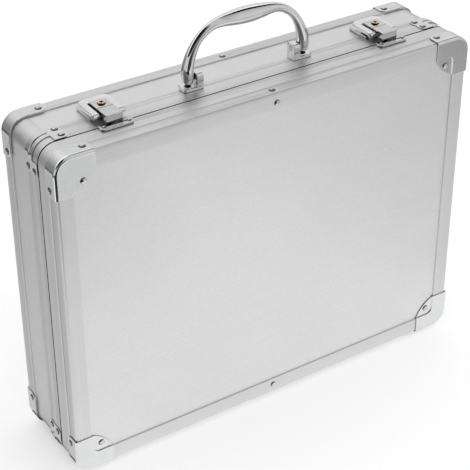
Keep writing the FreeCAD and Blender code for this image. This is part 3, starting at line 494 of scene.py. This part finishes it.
def roundEdges(piece, width):
    # Breaks the sharp edges of a solid as deburring does; the solid's own mesh stays as it is.
    weld = piece.modifiers.new("joinFaces", "WELD")
    weld.merge_threshold = edgeRounding["weld"]
    bevel = piece.modifiers.new("brokenEdges", "BEVEL")
    bevel.width = width
    bevel.segments = edgeRounding["segments"]
    bevel.limit_method = "ANGLE"
    bevel.angle_limit = math.radians(edgeRounding["angle"])
    bevel.use_clamp_overlap = False
    bevel.harden_normals = False
    evenShading(piece, edgeRounding["evenWeight"])


for name, material, width in finishOf:
    piece = nodes[name]
    piece.data.materials.clear()
    piece.data.materials.append(material)
    if width:
        roundEdges(piece, width * mm)
print("finishes placed on", len(finishOf), "nodes")


def ringPiece(name, rings, ringed, material, evenWeight):
    # Skin over rings of points; ringed joins the last to the first, otherwise both ends are closed.
    mesh = bpy.data.meshes.new(name)
    build = bmesh.new()
    loops = [[build.verts.new(point) for point in ring] for ring in rings]
    for ring, following in zip(loops, loops[1:] + (loops[:1] if ringed else [])):
        for i in range(len(ring)):
            j = (i + 1) % len(ring)
            build.faces.new((ring[i], ring[j], following[j], following[i]))
    if not ringed:
        build.faces.new(loops[0][::-1])
        build.faces.new(loops[-1])
    bmesh.ops.recalc_face_normals(build, faces=build.faces[:])
    for face in build.faces:
        face.smooth = True
    build.to_mesh(mesh)
    build.free()
    piece = bpy.data.objects.new(name, mesh)
    scene.collection.objects.link(piece)
    mesh.materials.append(material)
    evenShading(piece, evenWeight)
    return piece


# Cloth over thin foam in both halves: rolled hem, soft inner corner and a sewn line round the floor.
trayLook = {"wall": 2.4 * mm, "hem": 1.5 * mm, "hemSteps": 9, "hemOverlap": 0.1 * mm, "corner": 4.0 * mm,
            "cornerSteps": 6, "floorEdge": 0.8 * mm, "seamInset": 11.0 * mm, "seamWidth": 1.6 * mm,
            "seamDepth": 0.7 * mm, "crown": 0.6 * mm, "shoulder": 0.8, "flank": 0.5, "settle": 4,
            "floorRings": (30, 60, 95, 130), "cornerBend": 9.4 * mm, "leastBend": 0.8 * mm, "bendSteps": 8,
            "evenWeight": 40}


def roundedLoop(low, high, inset):
    # Points (x, z) round a rectangle with rounded corners, the same count for every inset.
    x0, x1, z0, z1 = low.x + inset, high.x - inset, low.z + inset, high.z - inset
    bend, steps = max(trayLook["cornerBend"] - inset, trayLook["leastBend"]), trayLook["bendSteps"]
    points = []
    for cx, cz, start in ((x1 - bend, z1 - bend, 0), (x0 + bend, z1 - bend, 90),
                          (x0 + bend, z0 + bend, 180), (x1 - bend, z0 + bend, 270)):
        for i in range(steps + 1):
            turn = math.radians(start + 90 * i / steps)
            points.append((cx + bend * math.cos(turn), cz + bend * math.sin(turn)))
    return points


def liningProfile(yOpen, yFloor, side):
    # (inset, y) from the outer edge of the floor up the wall, over the hem and down to the middle.
    look = trayLook
    wall, hem, corner, edge = (look[key] for key in ("wall", "hem", "corner", "floorEdge"))
    inner = yFloor - side * wall
    hemY = yOpen + side * hem
    profile = [(edge, yFloor), (0.0, yFloor - side * edge), (0.0, hemY)]
    for i in range(1, look["hemSteps"] + 1):
        turn = math.pi * i / look["hemSteps"]
        profile.append((hem - hem * math.cos(turn), hemY - side * hem * math.sin(turn)))
    profile += [(wall + look["hemOverlap"], hemY + side * hem), (wall, hemY + side * 2 * hem)]
    for i in range(look["cornerSteps"] + 1):
        turn = math.pi / 2 * i / look["cornerSteps"]
        profile.append((wall + corner * (1 - math.cos(turn)), inner - side * corner * (1 - math.sin(turn))))
    seam, width, crown = look["seamInset"], look["seamWidth"], look["crown"]
    shoulder, flank = (inner - side * crown * look[key] for key in ("shoulder", "flank"))
    profile += [(seam - width, shoulder), (seam - width / 2, flank), (seam, inner + side * look["seamDepth"]),
                (seam + width / 2, flank), (seam + width, shoulder),
                (seam + look["settle"] * width, inner - side * crown)]
    return profile + [(inset * mm, inner - side * crown) for inset in look["floorRings"]]


def makeLining(name, node, body, side):
    low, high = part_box(node)
    yOpen, yFloor = (low.y, high.y) if side > 0 else (high.y, low.y)
    rings = [[(x, y, z) for x, z in roundedLoop(low, high, inset)]
             for inset, y in liningProfile(yOpen, yFloor, side)]
    piece = ringPiece(name, rings, False, liningCloth, trayLook["evenWeight"])
    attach(piece, body)
    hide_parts(node)


makeLining("bodyLiningCloth", "body_lining", "case", 1)
makeLining("lidLiningCloth", "lid_lining", "lid", -1)
print("linings made")

# Raised rim round each brass plug's face.
plugRimLook = {"outer": 3.2 * mm, "inner": 1.5 * mm, "proud": 1.2 * mm, "edge": 0.5 * mm, "roundShare": 0.3,
               "turns": 64, "evenWeight": 40}


def makePlugRim(side):
    low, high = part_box("lock_plug_" + side)
    centre = (low + high) / 2
    look = plugRimLook
    outer, inner, proud, edge = (look[key] for key in ("outer", "inner", "proud", "edge"))
    cut = edge * look["roundShare"]
    profile = [(outer, -edge), (outer, proud - edge), (outer - cut, proud - cut), (outer - edge, proud),
               (inner + edge, proud), (inner + cut, proud - cut), (inner, proud - edge), (inner, -edge)]
    turns = [2 * math.pi * i / look["turns"] for i in range(look["turns"])]
    rings = [[(centre.x + radius * math.cos(turn), centre.y + radius * math.sin(turn), high.z + height)
              for turn in turns] for radius, height in profile]
    piece = ringPiece("plugRim_" + side, rings, True, plugBrass, look["evenWeight"])
    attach(piece, "lock_plug_" + side)


for side in ("left", "right"):
    makePlugRim(side)
print("plug rims made")

# Camera from the photograph's perspective.
cameraLook = {"azimuth": -32.76, "elevation": 32.43, "roll": -0.41, "target": (0.00001, 0.03258, 0.1521),
              "distance": 1.3668, "lens": 109.98, "sensor": 36.0, "shift": (0.01655, -0.0169),
              "clip": (0.05, 50.0)}


def makeCamera():
    look = cameraLook
    turn, tilt, roll = (math.radians(look[key]) for key in ("azimuth", "elevation", "roll"))
    back = Vector((math.sin(turn) * math.cos(tilt), -math.cos(turn) * math.cos(tilt), math.sin(tilt)))
    right = (-back).cross(Vector((0, 0, 1))).normalized()
    up = right.cross(-back)
    rolledRight = right * math.cos(roll) + up * math.sin(roll)
    rolledUp = up * math.cos(roll) - right * math.sin(roll)
    lens = bpy.data.cameras.new("photoView")
    lens.sensor_width = look["sensor"]
    lens.lens = look["lens"]
    lens.shift_x, lens.shift_y = look["shift"]
    lens.clip_start, lens.clip_end = look["clip"]
    camera = bpy.data.objects.new("photoView", lens)
    scene.collection.objects.link(camera)
    spot = Vector(look["target"]) + back * look["distance"]
    camera.matrix_world = Matrix(((rolledRight.x, rolledUp.x, back.x, spot.x),
                                  (rolledRight.y, rolledUp.y, back.y, spot.y),
                                  (rolledRight.z, rolledUp.z, back.z, spot.z), (0, 0, 0, 1)))
    scene.camera = camera


makeCamera()
print("camera placed")


def showBackground(tree):
    # 1 for rays from the camera and for those that metal or glass would send on.
    path = put(tree, "ShaderNodeLightPath")
    seen = maths(tree, "MAXIMUM", path.outputs["Is Camera Ray"], path.outputs["Is Glossy Ray"])
    return maths(tree, "MAXIMUM", seen, path.outputs["Is Transmission Ray"])


# Sky: a band is the level at each angle from the back horizon over the top to the front one.
skyLook = {"fill": 0.86, "sideways": (-0.35, 0.35), "middle": 0.62, "middleFade": (0.15, 0.35),
           "left": ((0, 0.30), (20, 0.38), (30, 0.62), (39, 0.86), (42, 1.6), (56, 1.6), (59, 0.0),
                    (150, 0.03), (167, 0.50), (180, 0.70)),
           "right": ((0, 1.0), (22, 0.95), (30, 0.78), (39, 0.78), (42, 1.15), (55, 1.15), (58, 0.0),
                     (78, 0.0), (84, 0.52), (120, 0.66), (180, 0.78))}


def skyRamp(tree, angle, band):
    ramp = put(tree, "ShaderNodeValToRGB", {"Fac": angle})
    stops = ramp.color_ramp.elements
    stops[0].color = (*grey(band[0][1]), 1.0)
    stops[1].color = (*grey(band[-1][1]), 1.0)
    for degrees, level in band[1:-1]:
        stops.new(degrees / 180).color = (*grey(level), 1.0)
    return ramp.outputs["Color"]


def makeSky():
    # White to the camera. Metal sees it bright high at the back, dark overhead and dark at the front left.
    world = bpy.data.worlds.new("studioSky")
    scene.world = world
    world.use_nodes = True
    tree = world.node_tree
    tree.nodes.clear()
    way = splitAxes(tree, put(tree, "ShaderNodeTexCoord").outputs["Generated"])
    angle = maths(tree, "DIVIDE", maths(tree, "ARCTAN2", way[2], way[1]), math.pi)
    toRight = remap(tree, way[0], *skyLook["sideways"])
    left, right = (skyRamp(tree, angle, skyLook[key]) for key in ("left", "right"))
    bands = blendColours(tree, toRight, left, right)
    middle = remap(tree, maths(tree, "ABSOLUTE", way[0]), *skyLook["middleFade"], skyLook["middle"], 0.0)
    sky = maths(tree, "MAXIMUM", bands, middle)  # no dark strip straight above
    mirrored = blendLevels(tree, showBackground(tree), skyLook["fill"], sky)
    direct = put(tree, "ShaderNodeLightPath").outputs["Is Camera Ray"]
    level = blendLevels(tree, direct, mirrored, 1.0)
    light = put(tree, "ShaderNodeBackground", {"Color": (1, 1, 1, 1), "Strength": level})
    end = put(tree, "ShaderNodeOutputWorld")
    tree.links.new(light.outputs[0], end.inputs["Surface"])


def rectangle(x0, y0, x1, y1):
    return ((x0, y0), (x1, y0), (x1, y1), (x0, y1))


def cardMesh(name, corners, faces=None):
    mesh = bpy.data.meshes.new(name)
    mesh.from_pydata(corners, [], faces or [tuple(range(len(corners)))])
    piece = bpy.data.objects.new(name, mesh)
    scene.collection.objects.link(piece)
    return piece


# White floor under the case.
floorLook = {"half": 7.0, "colour": 0.80, "glow": 0.34}


def makeFloor():
    half = floorLook["half"]
    floor = cardMesh("studioFloor", [(x, y, 0) for x, y in rectangle(-half, -half, half, half)])
    material, tree, shader = newFinish("paleFloor")
    shader.inputs["Base Color"].default_value = (*grey(floorLook["colour"]), 1.0)
    shader.inputs["Roughness"].default_value = 1.0
    shader.inputs["Specular IOR Level"].default_value = 0.0
    glow = maths(tree, "MULTIPLY", showBackground(tree), floorLook["glow"])
    shader.inputs["Emission Color"].default_value = (1, 1, 1, 1)
    tree.links.new(glow, shader.inputs["Emission Strength"])
    floor.data.materials.append(material)


# One large softbox from the front right.
keyLook = {"aim": (0, 0, 0.17), "from": (0.457, -0.536, 0.71), "distance": 1.6, "size": 0.9, "power": 3.1}


def makeKey():
    lamp = bpy.data.lights.new("softbox", "AREA")
    lamp.size = keyLook["size"]
    lamp.energy = keyLook["power"]
    box = bpy.data.objects.new("softbox", lamp)
    box.visible_glossy = False  # the sky's bands shape the metal
    scene.collection.objects.link(box)
    offset = Vector(keyLook["from"]).normalized() * keyLook["distance"]
    box.location = Vector(keyLook["aim"]) + offset
    box.rotation_euler = offset.to_track_quat("Z", "Y").to_euler()


def makeCard(name, corners, faces, look):
    # Card that only reflections see; a graded one runs between its levels over a stretch along a way.
    card = cardMesh(name, corners, faces)
    material = bpy.data.materials.new(name)
    material.use_nodes = True
    tree = material.node_tree
    tree.nodes.clear()
    level = look["levels"][0]
    if "along" in look:
        run = vectorMaths(tree, "DOT_PRODUCT", objectPlace(tree), look["along"])
        level = remap(tree, run, *look["stretch"], *look["levels"])
    glow = put(tree, "ShaderNodeEmission", {"Color": (1, 1, 1, 1), "Strength": level})
    end = put(tree, "ShaderNodeOutputMaterial")
    tree.links.new(glow.outputs[0], end.inputs["Surface"])
    card.data.materials.append(material)
    card.visible_camera = card.visible_diffuse = card.visible_shadow = False
    card.visible_transmission = card.visible_volume_scatter = False


# Cards that lie just over the floor, by height in millimetres and corners (x, y).
cardLook = {
    "roomFloor": {"height": 0.6, "corners": rectangle(-5, -5, 5, 5), "levels": (0.10,)},
    "tableFront": {"height": 1.0, "corners": rectangle(-0.58, -1.2, 1.1, -0.03), "levels": (0.89, 0.93),
                   "along": (0, -1, 0), "stretch": (0.05, 0.50)},
    "flagRight": {"height": 1.5, "corners": ((0.54, -0.46), (0.63, -0.61), (0.76, -0.78), (0.90, -0.72),
                                             (0.92, -0.10), (0.78, -0.10), (0.70, -0.38)),
                  "levels": (0.40, 0.36), "along": (1, 0, 0), "stretch": (0.5, 0.8)},
    "flagLeft": {"height": 1.5, "corners": ((-0.05, -0.495), (-0.05, -0.72), (-0.84, -0.52),
                                            (-0.5885, -0.33)), "levels": (0.02,)},
    "flagFar": {"height": 1.4, "corners": ((-0.05, -0.715), (-0.08, -1.15), (-0.45, -1.5), (-1.25, -0.95),
                                           (-0.84, -0.515)), "levels": (0.02,)},
    "flagTopLeft": {"height": 1.5, "corners": ((-0.032, -0.46), (0.062, -0.46), (0.140, -0.66),
                                               (0.035, -0.66)),
                    "levels": (0.63, 0.69), "along": (1, 0, 0), "stretch": (-0.02, 0.09)},
    "cardFootRight": {"height": 1.6, "corners": rectangle(0.19, -0.135, 0.275, -0.049), "levels": (0.925,)},
    "cardFootLeft": {"height": 1.6, "corners": rectangle(-0.215, -0.135, -0.13, -0.049), "levels": (0.925,)},
    "flagSide": {"height": 1.5, "corners": rectangle(-0.50, 0.37, -0.385, 0.62), "levels": (0.52,)},
    "cardLeft": {"height": 1.0, "corners": rectangle(-1.1, -0.32, -0.58, 0.02), "levels": (1.2,)},
    "tableLeft": {"height": 1.0, "corners": rectangle(-0.8, -0.03, -0.22, 0.8), "levels": (0.66, 0.58),
                  "along": (-1, 0, 0), "stretch": (0.22, 0.34)},
    "tableRight": {"height": 1.2, "corners": rectangle(0.20, -1.2, 1.1, -0.03), "levels": (0.87, 0.73),
                   "along": (1, 0, 0), "stretch": (0.20, 0.42)},
    "tableBack": {"height": 1.0, "corners": ((0.23, -0.03), (1.5, -0.03), (1.5, 1.6), (-0.22, 1.6),
                                             (-0.22, 0.06), (0.23, 0.06)),
                  "levels": (0.82, 0.74), "along": (0, 1, 0), "stretch": (0.0, 0.8)}}

# Wall round the table in four arcs; those at the back left and front left are darker. All lighten upward.
wallLook = {"radius": 1.7, "height": 0.80, "turns": 60, "light": 0.75, "lightShare": 0.4, "fadeFrom": 0.50,
            "arcs": {"wallBackLeft": (104.0, 166.0, 0.26), "wallLeft": (166.0, 228.0, 0.66),
                     "wallFrontLeft": (228.0, 275.0, 0.04), "wallRest": (275.0, 464.0, 0.66)}}


def makeWall():
    look = wallLook
    count = look["turns"]
    faces = [(i, i + 1, count + 2 + i, count + 1 + i) for i in range(count)]
    for name, (start, end, level) in look["arcs"].items():
        turns = [math.radians(start + (end - start) * i / count) for i in range(count + 1)]
        corners = [(look["radius"] * math.cos(turn), look["radius"] * math.sin(turn), z)
                   for z in (0.0, look["height"]) for turn in turns]
        top = level + (look["light"] - level) * look["lightShare"]
        makeCard(name, corners, faces, {"levels": (level, top), "along": (0, 0, 1),
                                        "stretch": (look["fadeFrom"], look["height"])})


makeSky()
makeWall()
makeFloor()
makeKey()
for name, look in cardLook.items():
    makeCard(name, [(x, y, look["height"] * mm) for x, y in look["corners"]], None, look)
print("studio set")
